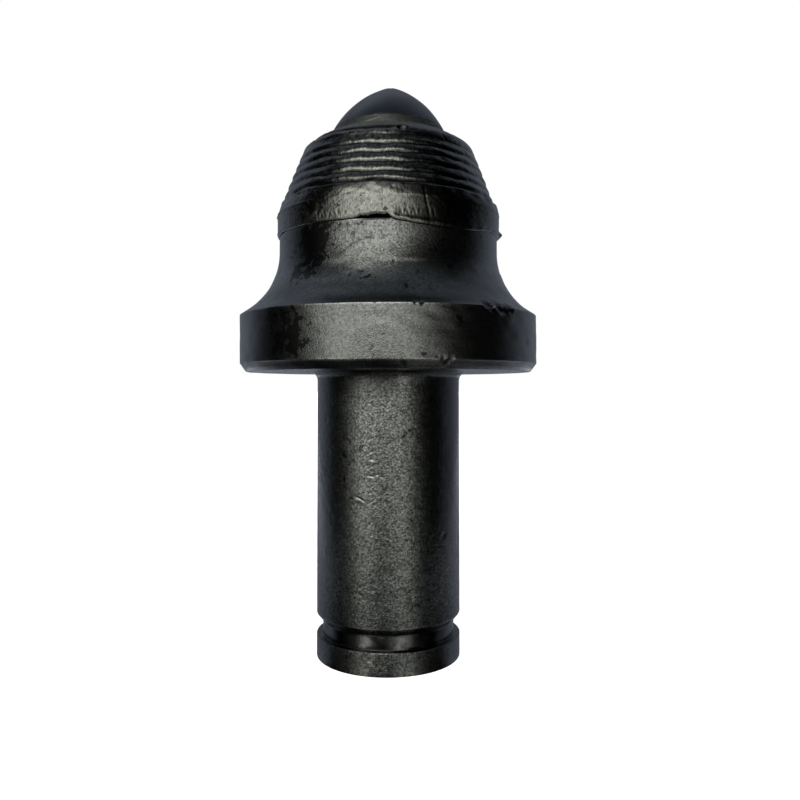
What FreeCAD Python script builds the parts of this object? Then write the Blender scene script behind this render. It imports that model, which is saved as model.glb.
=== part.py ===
import FreeCAD, Part
import math
import os
import re
import Sketcher

# Round-shank cutting pick: a one-piece steel body, a carbide button brazed into its nose,
# and a welded wear overlay laid as a spiral bead round the head.
# The pick stands on its shank end with the button up. Heights are measured from that end face.

os.makedirs("parts", exist_ok=True)
doc = FreeCAD.newDocument("cutting_pick")

# Driving dimensions, in millimetres and degrees
DIMENSIONS = [
    # shank
    ("shank_diameter", 30.0),
    ("shank_length", 59.0),
    ("shank_root_radius", 1.3),
    ("end_edge_break", 0.25),
    # retainer groove near the shank end
    ("end_cap_height", 4.7),
    ("groove_floor_diameter", 27.5),
    ("groove_floor_width", 2.9),
    ("groove_lead_height", 1.5),
    # collar
    ("collar_diameter", 62.3),
    ("collar_height", 11.6),
    ("collar_chamfer_width", 1.3),
    ("collar_chamfer_height", 1.65),
    ("collar_rim_break", 0.3),
    # flare and neck
    ("flare_radius", 15.0),
    ("neck_diameter", 46.1),
    ("neck_top_height", 16.4),
    # welded overlay
    ("overlay_thickness", 1.8),
    ("overlay_toe", 0.5),
    ("belt_diameter", 47.0),
    ("belt_height", 4.5),
    ("cone_half_angle", 21.2),
    ("cone_height", 14.57),
    ("crown_angle", 30.0),
    ("shoulder_radius", 1.5),
    # weld bead valleys
    ("bead_pitch", 1.95),
    ("valley_depth", 0.3),
    ("valley_width", 1.1),
    ("belt_valley_depth", 0.12),
    ("valley_overshoot", 0.25),
    ("valley_end_margin", 1.3),
    # drooping tail of the bead, below the belt at the front
    ("tail_drop", 1.5),
    ("tail_proud", 0.4),
    ("tail_sweep", 60.0),
    ("tail_start", 2.0),
    # button and its socket
    ("button_diameter", 25.0),
    ("braze_gap", 0.15),
    ("button_sink", 0.2),
    ("socket_rim_width", 0.65),
    ("stem_length", 12.8),
    ("stem_chamfer", 1.0),
    ("land_height", 2.0),
    ("land_taper", 0.65),
    ("button_height", 11.65),
    ("flank_radius", 21.0),
    ("nose_radius", 2.6),
    ("braze_climb", 0.45),
]

sheet = doc.addObject("Spreadsheet::Sheet", "Sizes")
for row, (alias, number) in enumerate(DIMENSIONS, 1):
    sheet.set("A%d" % row, alias)
    sheet.set("B%d" % row, str(number))
    sheet.setAlias("B%d" % row, alias)
doc.recompute()
ALIASES = {alias for alias, number in DIMENSIONS}

# Places worked out from the driving dimensions, as formulas
SHANK_RADIUS = "shank_diameter / 2"
GROOVE_TOP = "(end_cap_height + groove_floor_width)"
COLLAR_RADIUS = "collar_diameter / 2"
COLLAR_TOP = "(shank_length + collar_height)"
NECK_RADIUS = "neck_diameter / 2"
FLARE_STEP = "(flare_radius - (collar_diameter - neck_diameter) / 2)"
FLARE_TOP = "(%s + sqrt(flare_radius ^ 2 - %s ^ 2))" % (COLLAR_TOP, FLARE_STEP)
OVERLAY_START = "(%s + neck_top_height)" % COLLAR_TOP
BELT_RADIUS = "belt_diameter / 2"
TOE_TOP = "(%s + overlay_toe + max(%s - %s; 0))" % (OVERLAY_START, NECK_RADIUS, BELT_RADIUS)
BELT_TOP = "(%s + belt_height)" % OVERLAY_START
SHOULDER_RADIUS = "(belt_diameter / 2 - cone_height * tan(cone_half_angle))"
SHOULDER = "(%s + cone_height)" % BELT_TOP
SHOULDER_TANGENT = "(shoulder_radius * tan(45 - (cone_half_angle + crown_angle) / 2))"
SOCKET_RADIUS = "(button_diameter / 2 + braze_gap)"
RIM_RADIUS = "(%s + socket_rim_width)" % SOCKET_RADIUS
RIM = "(%s + (%s - %s) * tan(crown_angle))" % (SHOULDER, SHOULDER_RADIUS, RIM_RADIUS)
LAND_START = "(%s - button_sink)" % RIM
SOCKET_FLOOR = "(%s - stem_length)" % LAND_START
# the steel seat under the overlay is one overlay thickness inside its outer form
SEAT_RADIUS = "(belt_diameter / 2 - overlay_thickness)"
SEAT_RAMP_TOP = "(%s + abs(%s - %s))" % (OVERLAY_START, NECK_RADIUS, SEAT_RADIUS)
SEAT_DROP = ("overlay_thickness * (1 - tan(crown_angle))"
             " / (1 - tan(cone_half_angle) * tan(crown_angle))")
SEAT_SHOULDER = "(%s - %s)" % (SHOULDER, SEAT_DROP)
SEAT_SHOULDER_RADIUS = ("(%s - overlay_thickness + %s * tan(cone_half_angle))"
                        % (SHOULDER_RADIUS, SEAT_DROP))
SEAT_TOP = "(%s - overlay_thickness + socket_rim_width * tan(crown_angle))" % RIM
# the button
BUTTON_RADIUS = "button_diameter / 2"
LAND_TOP = "(%s + land_height)" % LAND_START
LAND_RADIUS = "(button_diameter / 2 - land_taper)"
APEX = "(%s + button_height)" % LAND_START
BRAZE_FLOOR = "(%s - socket_rim_width)" % RIM
BRAZE_TOP = "(%s + braze_climb)" % LAND_START
BRAZE_TOP_RADIUS = "(button_diameter / 2 - land_taper * braze_climb / land_height)"


def formula(text):
    """The formula with each size's name pointing at its cell in the sheet."""
    return re.sub(r"[a-z_]+", lambda m: "Sizes." + m.group() if m.group() in ALIASES else m.group(), text)


def value(text):
    """What a formula gives with the sizes in the sheet."""
    return float(sheet.evalExpression(formula(text)))


def origin_plane(body, role):
    return next(f for f in body.Origin.OriginFeatures if f.Role == role)


def end_near(sketch, number, point):
    """1 for the start and 2 for the end of a sketch edge, whichever lies at the point."""
    gaps = [sketch.getPoint(number, end).sub(point).Length for end in (1, 2)]
    return 1 + gaps.index(min(gaps))


def place_point(sketch, number, end, radius, height):
    """Ties one end of a sketch edge to its radius and height formulas."""
    tag = "p%d" % sketch.ConstraintCount
    if radius == "0":
        sketch.addConstraint(Sketcher.Constraint("PointOnObject", number, end, -2))
    else:
        across = sketch.addConstraint(
            Sketcher.Constraint("DistanceX", -1, 1, number, end, value(radius)))
        sketch.renameConstraint(across, tag + "x")
        sketch.setExpression("Constraints." + tag + "x", formula(radius))
    if height == "0":
        sketch.addConstraint(Sketcher.Constraint("PointOnObject", number, end, -1))
    else:
        up = sketch.addConstraint(
            Sketcher.Constraint("DistanceY", -1, 1, number, end, value(height)))
        sketch.renameConstraint(up, tag + "y")
        sketch.setExpression("Constraints." + tag + "y", formula(height))


def new_sketch(body, name, role="XZ_Plane"):
    sketch = body.newObject("Sketcher::SketchObject", name)
    sketch.AttachmentSupport = [(origin_plane(body, role), "")]
    sketch.MapMode = "FlatFace"
    return sketch


def arc_through(start, end, radius, side):
    """The short arc from start to end; side 1 bulges to the right of that direction, -1 to the left."""
    chord = end.sub(start)
    half = chord.Length / 2
    right = FreeCAD.Vector(chord.y, -chord.x, 0).normalize()
    rise = radius - math.sqrt(radius ** 2 - half ** 2)
    middle = start.add(end).multiply(0.5).add(right.multiply(side * rise))
    return Part.ArcOfCircle(start, middle, end)


def outline(body, name, corners, arcs=None):
    """A closed outline through (radius, height) corners. arcs maps a corner's number to the
    radius formula and bulge side of the arc that leaves it; the other edges are straight."""
    sketch = new_sketch(body, name)
    arcs = arcs or {}
    points = [FreeCAD.Vector(value(r), value(z), 0) for r, z in corners]
    following = points[1:] + points[:1]
    for number, (start, end) in enumerate(zip(points, following)):
        if number in arcs:
            radius, side = arcs[number]
            sketch.addGeometry(arc_through(start, end, value(radius), side))
        else:
            sketch.addGeometry(Part.LineSegment(start, end))
    for number, end in enumerate(following):
        after = (number + 1) % len(points)
        sketch.addConstraint(Sketcher.Constraint(
            "Coincident", number, end_near(sketch, number, end), after, end_near(sketch, after, end)))
    for number, (radius, height) in enumerate(corners):
        place_point(sketch, number, end_near(sketch, number, points[number]), radius, height)
    for number, (radius, side) in arcs.items():
        bind_radius(sketch, number, radius)
    return sketch


def bind_radius(sketch, number, radius):
    tag = "arc%d" % number
    index = sketch.addConstraint(Sketcher.Constraint("Radius", number, value(radius)))
    sketch.renameConstraint(index, tag)
    sketch.setExpression("Constraints." + tag, formula(radius))


def turned(body, name, sketch, kind="PartDesign::Revolution"):
    """Turns an outline round the pick's axis."""
    feature = body.newObject(kind, name)
    feature.Profile = sketch
    feature.ReferenceAxis = (sketch, ["V_Axis"])
    feature.Angle = 360
    doc.recompute()
    return feature


def ring_edge(feature, radius, height):
    """The name of the feature's circular edge with this radius at this height."""
    for number, edge in enumerate(feature.Shape.Edges, 1):
        if isinstance(edge.Curve, Part.Circle):
            off = abs(edge.Curve.Radius - radius) + abs(edge.Curve.Center.z - height)
            if off < 0.01:
                return "Edge%d" % number
    raise RuntimeError("no edge of radius %.2f at height %.2f" % (radius, height))


def dress(body, kind, name, radius, height, **sizes):
    """A fillet or chamfer on the circular edge at this radius and height."""
    edge = ring_edge(body.Tip, value(radius), value(height))
    feature = body.newObject(kind, name)
    feature.Base = (body.Tip if body.Tip is not feature else feature.BaseFeature, [edge])
    if "Size2" in sizes:
        feature.ChamferType = "Two distances"
    for size, text in sizes.items():
        feature.setExpression(size, formula(text))
    doc.recompute()
    return feature


def new_body(name):
    body = doc.addObject("PartDesign::Body", name)
    body.Label = name
    return body


# Steel body: forged and turned in one piece from shank to nose
steel = new_body("steel_body")
blank_outline = outline(steel, "blank_outline", [
    ("0", "0"),
    (SHANK_RADIUS, "0"),
    (SHANK_RADIUS, "shank_length"),
    (COLLAR_RADIUS, "shank_length"),
    (COLLAR_RADIUS, COLLAR_TOP),
    (NECK_RADIUS, FLARE_TOP),
    (NECK_RADIUS, OVERLAY_START),
    (SEAT_RADIUS, SEAT_RAMP_TOP),
    (SEAT_RADIUS, BELT_TOP),
    (SEAT_SHOULDER_RADIUS, SEAT_SHOULDER),
    (SOCKET_RADIUS, SEAT_TOP),
    ("0", SEAT_TOP),
], arcs={4: ("flare_radius", -1)})
blank = turned(steel, "blank", blank_outline)

groove_outline = outline(steel, "groove_outline", [
    ("groove_floor_diameter / 2", "end_cap_height"),
    (SHANK_RADIUS, "end_cap_height"),
    (SHANK_RADIUS, GROOVE_TOP + " + groove_lead_height"),
    ("groove_floor_diameter / 2", GROOVE_TOP),
])
retainer_groove = turned(steel, "retainer_groove", groove_outline, "PartDesign::Groove")

socket_circle = new_sketch(steel, "socket_circle", "XY_Plane")
socket_circle.setExpression("AttachmentOffset.Base.z", formula(SEAT_TOP))
socket_circle.addGeometry(Part.Circle(FreeCAD.Vector(0, 0, 0), FreeCAD.Vector(0, 0, 1), value(SOCKET_RADIUS)))
socket_circle.addConstraint(Sketcher.Constraint("Coincident", 0, 3, -1, 1))
bind_radius(socket_circle, 0, SOCKET_RADIUS)
socket = steel.newObject("PartDesign::Pocket", "button_socket")
socket.Profile = socket_circle
socket.setExpression("Length", formula("%s - %s" % (SEAT_TOP, SOCKET_FLOOR)))
doc.recompute()

dress(steel, "PartDesign::Fillet", "shank_root", SHANK_RADIUS, "shank_length", Radius="shank_root_radius")
dress(steel, "PartDesign::Chamfer", "collar_chamfer", COLLAR_RADIUS, "shank_length",
      Size="collar_chamfer_width", Size2="collar_chamfer_height")
dress(steel, "PartDesign::Chamfer", "collar_rim", COLLAR_RADIUS, COLLAR_TOP, Size="collar_rim_break")
dress(steel, "PartDesign::Chamfer", "end_break", SHANK_RADIUS, "0", Size="end_edge_break")

# Welded overlay: a skin on the head, cut by the valleys between the turns of its spiral bead
overlay = new_body("hardfacing")
overlay_outline = outline(overlay, "overlay_outline", [
    (NECK_RADIUS, OVERLAY_START),
    (BELT_RADIUS, TOE_TOP),
    (BELT_RADIUS, BELT_TOP),
    ("%s + %s * sin(cone_half_angle)" % (SHOULDER_RADIUS, SHOULDER_TANGENT),
     "%s - %s * cos(cone_half_angle)" % (SHOULDER, SHOULDER_TANGENT)),
    ("%s - %s * cos(crown_angle)" % (SHOULDER_RADIUS, SHOULDER_TANGENT),
     "%s + %s * sin(crown_angle)" % (SHOULDER, SHOULDER_TANGENT)),
    (RIM_RADIUS, RIM),
    (SOCKET_RADIUS, BRAZE_FLOOR),
    (SOCKET_RADIUS, SEAT_TOP),
    (SEAT_SHOULDER_RADIUS, SEAT_SHOULDER),
    (SEAT_RADIUS, BELT_TOP),
    (SEAT_RADIUS, SEAT_RAMP_TOP),
], arcs={3: ("shoulder_radius", 1)})
turned(overlay, "overlay_skin", overlay_outline)

# Where the bead ends, its tail droops over the neck and leaves a step at the front
tail_outline = outline(overlay, "tail_outline", [
    (NECK_RADIUS, OVERLAY_START + " - tail_drop"),
    (NECK_RADIUS + " + tail_proud", OVERLAY_START + " - tail_drop / 2"),
    (NECK_RADIUS + " + tail_proud", OVERLAY_START),
    (BELT_RADIUS, TOE_TOP),
    (SEAT_RADIUS, SEAT_RAMP_TOP),
    (NECK_RADIUS, OVERLAY_START),
])
# its sketch plane is turned from the front, where Y is negative, towards the right
tail_outline.AttachmentOffset = FreeCAD.Placement(
    FreeCAD.Vector(), FreeCAD.Rotation(FreeCAD.Vector(0, 1, 0), value("tail_start - 90")))
tail_outline.setExpression("AttachmentOffset.Rotation.Angle", formula("tail_start - 90"))
tail = overlay.newObject("PartDesign::Revolution", "bead_tail")
tail.Profile = tail_outline
tail.ReferenceAxis = (tail_outline, ["V_Axis"])
tail.setExpression("Angle", formula("tail_sweep"))
doc.recompute()


def valley_sketch(name, lean, depth, margin):
    """A vee whose foot lies on the overlay's skin above the belt's top edge, leaning with that skin."""
    sketch = new_sketch(overlay, name)
    along = "(%s)" % margin
    half = "(valley_width / 2)"
    out = "(valley_overshoot * %s / valley_depth)" % depth
    reach = "%s * (1 + %s / %s)" % (half, out, depth)

    def on_skin(u, v):
        radius = "%s - (%s) * sin(%s) + (%s) * cos(%s)" % (BELT_RADIUS, u, lean, v, lean)
        height = "%s + (%s) * cos(%s) + (%s) * sin(%s)" % (BELT_TOP, u, lean, v, lean)
        return radius, height

    corners = [
        on_skin("%s - %s" % (along, reach), out),
        on_skin(along, "-" + depth),
        on_skin("%s + %s" % (along, reach), out),
    ]
    points = [FreeCAD.Vector(value(r), value(z), 0) for r, z in corners]
    for number in range(3):
        sketch.addGeometry(Part.LineSegment(points[number], points[(number + 1) % 3]))
    for number in range(3):
        sketch.addConstraint(Sketcher.Constraint("Coincident", number, 2, (number + 1) % 3, 1))
        place_point(sketch, number, 1, *corners[number])
    return sketch


def valley(name, sketch, height, lean, upwards):
    """A spiral valley that follows the skin from the sketch, falling to the right as seen from outside."""
    feature = overlay.newObject("PartDesign::SubtractiveHelix", name)
    feature.Profile = sketch
    feature.ReferenceAxis = (sketch, ["V_Axis"])
    feature.Mode = "pitch-height-angle"
    feature.setExpression("Pitch", formula("bead_pitch"))
    feature.setExpression("Height", formula(height))
    feature.setExpression("Angle", formula(lean))
    feature.LeftHanded = True
    feature.Reversed = not upwards
    before = overlay.Shape.Volume
    doc.recompute()
    print(name, "cuts", round(before - feature.Shape.Volume, 2), "cubic mm")


cone_valley_foot = valley_sketch("cone_valley_foot", "cone_half_angle", "valley_depth", "0")
valley("cone_valley", cone_valley_foot, "cone_height - valley_end_margin", "-cone_half_angle", True)
belt_valley_foot = valley_sketch("belt_valley_foot", "0", "belt_valley_depth", "-bead_pitch / 2")
valley("belt_valley", belt_valley_foot, "%s - %s - bead_pitch" % (BELT_TOP, TOE_TOP), "0", False)

# Carbide button: a plain stem in the socket, a short tapered land and a rounded ogive
button = new_body("carbide_button")


def ogive_join():
    """Where the flank arc runs into the nose arc, and each arc's middle."""
    foot = FreeCAD.Vector(value(LAND_RADIUS), value(LAND_TOP), 0)
    apex = FreeCAD.Vector(0, value(APEX), 0)
    flank, nose = value("flank_radius"), value("nose_radius")
    nose_centre = apex.sub(FreeCAD.Vector(0, nose, 0))
    span = foot.sub(nose_centre)
    reach = span.Length
    along = (reach ** 2 + (flank - nose) ** 2 - flank ** 2) / (2 * reach)
    side = math.sqrt((flank - nose) ** 2 - along ** 2)
    unit = FreeCAD.Vector(span).normalize()
    inward = FreeCAD.Vector(unit.y, -unit.x, 0)
    flank_centre = nose_centre.add(FreeCAD.Vector(unit).multiply(along)).add(inward.multiply(side))
    outward = nose_centre.sub(flank_centre).normalize()
    join = nose_centre.add(FreeCAD.Vector(outward).multiply(nose))
    flank_way = join.sub(flank_centre).add(foot.sub(flank_centre)).normalize()
    nose_way = join.sub(nose_centre).add(apex.sub(nose_centre)).normalize()
    return (foot, apex, join,
            flank_centre.add(flank_way.multiply(flank)), nose_centre.add(nose_way.multiply(nose)))


button_outline = new_sketch(button, "button_outline")
foot, apex, join, flank_middle, nose_middle = ogive_join()
straight = [
    ("0", SOCKET_FLOOR),
    (BUTTON_RADIUS + " - stem_chamfer", SOCKET_FLOOR),
    (BUTTON_RADIUS, SOCKET_FLOOR + " + stem_chamfer"),
    (BUTTON_RADIUS, LAND_START),
    (LAND_RADIUS, LAND_TOP),
]
stem_points = [FreeCAD.Vector(value(r), value(z), 0) for r, z in straight]
for start, end in zip(stem_points, stem_points[1:]):
    button_outline.addGeometry(Part.LineSegment(start, end))
FLANK, NOSE, AXIS_LINE = 4, 5, 6
button_outline.addGeometry(Part.ArcOfCircle(foot, flank_middle, join))
button_outline.addGeometry(Part.ArcOfCircle(join, nose_middle, apex))
button_outline.addGeometry(Part.LineSegment(apex, stem_points[0]))
for number, corner in enumerate(stem_points[1:] + [join, apex]):
    after = number + 1
    if number == FLANK:
        button_outline.addConstraint(Sketcher.Constraint(
            "Tangent", FLANK, end_near(button_outline, FLANK, join),
            NOSE, end_near(button_outline, NOSE, join)))
    else:
        button_outline.addConstraint(Sketcher.Constraint(
            "Coincident", number, end_near(button_outline, number, corner),
            after, end_near(button_outline, after, corner)))
button_outline.addConstraint(Sketcher.Constraint("Coincident", AXIS_LINE, 2, 0, 1))
for number, (radius, height) in enumerate(straight):
    place_point(button_outline, number, end_near(button_outline, number, stem_points[number]), radius, height)
place_point(button_outline, AXIS_LINE, 1, "0", APEX)
button_outline.addConstraint(Sketcher.Constraint("PointOnObject", NOSE, 3, -2))
bind_radius(button_outline, FLANK, "flank_radius")
bind_radius(button_outline, NOSE, "nose_radius")
turned(button, "button_solid", button_outline)

# Braze: the ring of filler that shows round the foot of the button
braze = new_body("braze_ring")
braze_outline = outline(braze, "braze_outline", [
    (BUTTON_RADIUS, BRAZE_FLOOR),
    (SOCKET_RADIUS, BRAZE_FLOOR),
    (RIM_RADIUS, RIM),
    (BRAZE_TOP_RADIUS, BRAZE_TOP),
    (BUTTON_RADIUS, LAND_START),
])
turned(braze, "braze_solid", braze_outline)

doc.recompute()

# Every object is sound before anything is written
for item in doc.Objects:
    if "Invalid" in item.State or "Error" in item.State:
        raise RuntimeError("%s did not build: %s" % (item.Label, item.State))
    if item.isDerivedFrom("Part::Feature") and not item.isDerivedFrom("Sketcher::SketchObject"):
        if item.Shape.isNull() or not item.Shape.isValid():
            raise RuntimeError("%s has no sound shape" % item.Label)

for piece in (steel, overlay, button, braze):
    shape = piece.Shape
    print("%-15s volume %9.1f  faces %3d  solids %d  top %.2f"
          % (piece.Label, shape.Volume, len(shape.Faces), len(shape.Solids), shape.BoundBox.ZMax))
    shape.exportStep("parts/%s.step" % piece.Label)
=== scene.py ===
# %% [markdown]
# # A round-shank cutting pick
# The object is a wear tooth from a drilling or trenching head: a turned steel shank with a retainer groove,
# a wide collar, a flared neck, a head covered with spiral weld and a carbide button in its nose.
# Everything here is a form of revolution that use and welding have roughened, so each piece is
# a fine grid wrapped round the axis, whose radius is pushed in and out by small functions.
# A lathe modifier on a profile would be quicker, but it could not tell the front from the back,
# and the weld's spiral, its drooping tail and the nicks all need that.

# %% Load the frame
import math
import bpy
import numpy as np
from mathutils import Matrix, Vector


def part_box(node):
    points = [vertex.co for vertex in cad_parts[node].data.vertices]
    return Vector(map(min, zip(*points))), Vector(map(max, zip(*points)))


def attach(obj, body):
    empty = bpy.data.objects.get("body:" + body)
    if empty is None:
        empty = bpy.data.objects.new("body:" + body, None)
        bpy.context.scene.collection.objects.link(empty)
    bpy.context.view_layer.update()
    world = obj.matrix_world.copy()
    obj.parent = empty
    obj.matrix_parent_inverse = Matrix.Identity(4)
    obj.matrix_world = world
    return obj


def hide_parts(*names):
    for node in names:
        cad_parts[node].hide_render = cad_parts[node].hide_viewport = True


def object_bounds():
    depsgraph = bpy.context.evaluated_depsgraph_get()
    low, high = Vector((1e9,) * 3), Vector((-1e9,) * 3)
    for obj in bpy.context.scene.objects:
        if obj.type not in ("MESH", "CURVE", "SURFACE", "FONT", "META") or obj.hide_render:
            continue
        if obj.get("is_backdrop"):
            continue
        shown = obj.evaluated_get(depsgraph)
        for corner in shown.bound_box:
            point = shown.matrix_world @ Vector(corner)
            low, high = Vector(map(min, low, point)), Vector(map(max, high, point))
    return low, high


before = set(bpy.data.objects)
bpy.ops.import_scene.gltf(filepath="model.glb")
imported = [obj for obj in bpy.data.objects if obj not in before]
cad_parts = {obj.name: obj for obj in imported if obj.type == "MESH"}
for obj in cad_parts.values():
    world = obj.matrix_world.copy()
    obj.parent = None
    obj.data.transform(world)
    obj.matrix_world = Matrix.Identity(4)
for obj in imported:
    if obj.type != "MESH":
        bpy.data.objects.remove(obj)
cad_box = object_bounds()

MM = 0.001
steel_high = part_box("steel_body")[1]
skin_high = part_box("hardfacing")[1]
button_low, button_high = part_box("carbide_button")
braze_low, braze_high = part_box("braze_ring")
print("nodes", sorted(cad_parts), "top", round(button_high.z / MM, 2), "mm")

# %% [markdown]
# ## Sizes
# The main radii and heights come from the frame, so the dressed pieces always stand where the solids do.
# The rest are the small sizes of the real thing, in millimetres. Azimuths are in degrees,
# 0 at the front of the pick, where Y is negative, and growing to the right.

# %% Sizes of the pick
collar_radius = steel_high.x / MM
seat_top = steel_high.z / MM
button_radius = button_high.x / MM
socket_floor = button_low.z / MM
apex = button_high.z / MM
rim_radius = braze_high.x / MM
braze_floor = braze_low.z / MM
rim_height = skin_high.z / MM

shank_radius = 15.0
cap_height = 4.7
groove_floor_radius = 13.75
groove_floor_top = 7.6
groove_lead_top = 9.1
shank_root = 1.8
collar_underside = 59.0
collar_top = 70.6
chamfer_width = 1.3
chamfer_height = 1.65
flare_radius = 15.0
neck_radius = 23.05
flare_top = 83.92
overlay_start = 87.0
belt_radius = 23.5
belt_bottom = 87.5
belt_top = 91.5
seat_radius = 21.7
seat_ramp_top = 88.35
shoulder_radius = 17.85
shoulder_height = 106.07
seat_shoulder_radius = 16.43
seat_shoulder_height = 105.09
socket_radius = 12.65
land_start = 108.5
land_top = 110.5
land_radius = 11.85
print("collar", round(2 * collar_radius, 2), "mm, button", round(2 * button_radius, 2), "mm across")
print("rim of the braze at", round(rim_height, 2), "mm")

# %% [markdown]
# ## Profiles
# A turned part is drawn as half of its section. Real edges are never knife sharp, so every corner
# of the profile has a small rounding of its own. The path is cut into rows here, closely where the
# surface bends or carries detail and widely where nothing is seen.


# %% Cut a profile into rows
EDGE_REACH = 0.35


def rounded_path(corners):
    """Points along a profile. Each corner is (radius, height, rounding, step), and step is the
    spacing of the rows on the straight run that arrives at it."""
    points = [np.array(corner[:2], float) for corner in corners]
    path = [points[0]]

    def straight(target, step):
        start = path[-1]
        count = max(1, math.ceil(np.linalg.norm(target - start) / step))
        path.extend(start + (target - start) * k / count for k in range(1, count + 1))

    for number in range(1, len(corners)):
        corner = points[number]
        rounding, step = corners[number][2:4]
        if rounding == 0 or number == len(corners) - 1:
            straight(corner, step)
            continue
        arrive = corner - points[number - 1]
        arrive = arrive / np.linalg.norm(arrive)
        leave = points[number + 1] - corner
        leave = leave / np.linalg.norm(leave)
        turn = math.atan2(arrive[0] * leave[1] - arrive[1] * leave[0], float(arrive @ leave))
        reach = rounding * math.tan(abs(turn) / 2)
        straight(corner - arrive * reach, step)
        side = np.array([-arrive[1], arrive[0]]) * math.copysign(rounding, turn)
        centre = path[-1] + side
        steps = max(3, math.ceil(abs(turn) / math.radians(20)))
        for k in range(1, steps + 1):
            angle = turn * k / steps
            spin = np.array([[math.cos(angle), -math.sin(angle)], [math.sin(angle), math.cos(angle)]])
            path.append(centre - spin @ side)
    return np.array(path)


def path_facts(path, closed=False):
    """Length along the profile, outward direction and how sharply it bends, for every row."""
    if closed:
        around = np.vstack([path[-1:], path, path[:1]])
    else:
        around = np.vstack([2 * path[0] - path[1], path, 2 * path[-1] - path[-2]])
    before = around[1:-1] - around[:-2]
    after = around[2:] - around[1:-1]
    gone = np.concatenate([[0], np.cumsum(np.linalg.norm(np.diff(path, axis=0), axis=1))])
    unit_before = before / np.linalg.norm(before, axis=1)[:, None]
    unit_after = after / np.linalg.norm(after, axis=1)[:, None]
    tangent = unit_before + unit_after
    tangent = tangent / np.linalg.norm(tangent, axis=1)[:, None]
    outward = np.stack([tangent[:, 1], -tangent[:, 0]], axis=1)
    bend = np.arctan2(unit_before[:, 0] * unit_after[:, 1] - unit_before[:, 1] * unit_after[:, 0],
                      (unit_before * unit_after).sum(axis=1))
    near = np.exp(-((gone[:, None] - gone[None, :]) / EDGE_REACH) ** 2)
    edge = np.clip(near @ np.clip(bend, 0, None), 0, 1.2)
    corner = np.clip(near @ np.clip(-bend, 0, None), 0, 1.2)
    return gone, outward, edge, corner


# %% [markdown]
# ## Wrapping a profile round the axis
# The grid has one row for each point of the profile and one column for each azimuth. Three masks ride on its
# points: how worn a spot is, with painted highlight added on the weld; how much painted shade it gets in
# valleys, nicks, corners and on sides turned from the light, with the oil in the groove's floor added; and how
# much oil has dried on it. The materials read them, so that edges polish, painted highlights brighten and the
# painted shade is black.


# %% Make a mesh from a grid
MASKS = ("wear_and_highlight", "shade_and_oil", "oily")


def turned_piece(name, radius, height, azimuth, wear_and_highlight, shade_and_oil, oily=0.0, closed=False, lean=0):
    """A closed mesh from a grid of radii and heights in millimetres. Without closed, each end is
    shut with a point on the axis. lean moves the points to the right."""
    rows, columns = radius.shape
    x = radius * np.sin(azimuth) + lean
    y = -radius * np.cos(azimuth)
    points = np.stack([x, y, height], axis=-1).reshape(-1, 3)
    masks = [np.clip(np.broadcast_to(mask, radius.shape), 0, 1).reshape(-1) for mask in (wear_and_highlight, shade_and_oil, oily)]
    next_column = np.roll(np.arange(columns), -1)
    pairs = [(row, (row + 1) % rows) for row in range(rows if closed else rows - 1)]
    faces = []
    for low, high in pairs:
        quads = np.stack([low * columns + np.arange(columns), low * columns + next_column,
                          high * columns + next_column, high * columns + np.arange(columns)], axis=1)
        faces.extend(quads.tolist())
    if not closed:
        ends = [(0, False), (rows - 1, True)]
        for row, last in ends:
            pole = len(points)
            tip = [float(np.mean(x[row])), 0.0, float(np.mean(height[row]))]
            points = np.vstack([points, tip])
            masks = [np.append(mask, mask[row * columns]) for mask in masks]
            ring = row * columns + np.arange(columns)
            following = row * columns + next_column
            order = (ring, following) if last else (following, ring)
            faces.extend(np.stack([*order, np.full(columns, pole)], axis=1).tolist())
    mesh = bpy.data.meshes.new(name)
    mesh.from_pydata((points * MM).tolist(), [], faces)
    mesh.polygons.foreach_set("use_smooth", np.ones(len(mesh.polygons), bool))
    for label, mask in zip(MASKS, masks):
        layer = mesh.attributes.new(label, "FLOAT", "POINT")
        layer.data.foreach_set("value", mask.astype(np.float32))
    mesh.update()
    piece = bpy.data.objects.new(name, mesh)
    bpy.context.scene.collection.objects.link(piece)
    triangles = sum(len(face) - 2 for face in faces)
    print(name, rows, "rows", columns, "columns", triangles, "triangles")
    return piece


# %% [markdown]
# ## Small surface shapes
# A few shapes make all the unevenness: a gentle random relief that closes on itself after a full
# turn, a soft oval spot for dents, pits and drops, and ramps and bells for edges and bands. They are
# plain functions with fixed seeds, so the pick looks the same each time.


# %% Relief, spots and ramps
def relief(azimuth, height, seed, most_turns, shortest, count=14):
    """Gentle random unevenness between about -1 and 1. shortest is its finest wave up the piece."""
    draw = np.random.default_rng(seed)
    total = np.zeros(np.broadcast(azimuth, height).shape)
    for _ in range(count):
        turns = int(draw.integers(-most_turns, most_turns + 1))
        rise = draw.uniform(-1, 1) * 2 * math.pi / shortest
        total += np.cos(turns * azimuth + rise * height + draw.uniform(0, 2 * math.pi))
    return total / math.sqrt(count / 2)


def spot(azimuth, height, radius, at_degrees, at_height, across, along, tilt=0):
    """A soft oval, 1 at its middle, across by along millimetres in half width, turned by tilt degrees."""
    away = (azimuth - math.radians(at_degrees) + math.pi) % (2 * math.pi) - math.pi
    u = away * radius
    v = height - at_height
    cosine = math.cos(math.radians(tilt))
    sine = math.sin(math.radians(tilt))
    return np.exp(-((u * cosine + v * sine) / across) ** 2 - ((v * cosine - u * sine) / along) ** 2)


def ramp(value, start, end):
    """0 before start, 1 after end, smooth between them."""
    t = np.clip((value - start) / (end - start), 0, 1)
    return t * t * (3 - 2 * t)


def between(value, rise_start, rise_end, fall_start, fall_end):
    """1 between a rise and a fall, 0 outside them, smooth at both."""
    return ramp(value, rise_start, rise_end) * (1 - ramp(value, fall_start, fall_end))


def bell(value, middle, width):
    """A soft bump, 1 at its middle."""
    return np.exp(-((value - middle) / width) ** 2)


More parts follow.
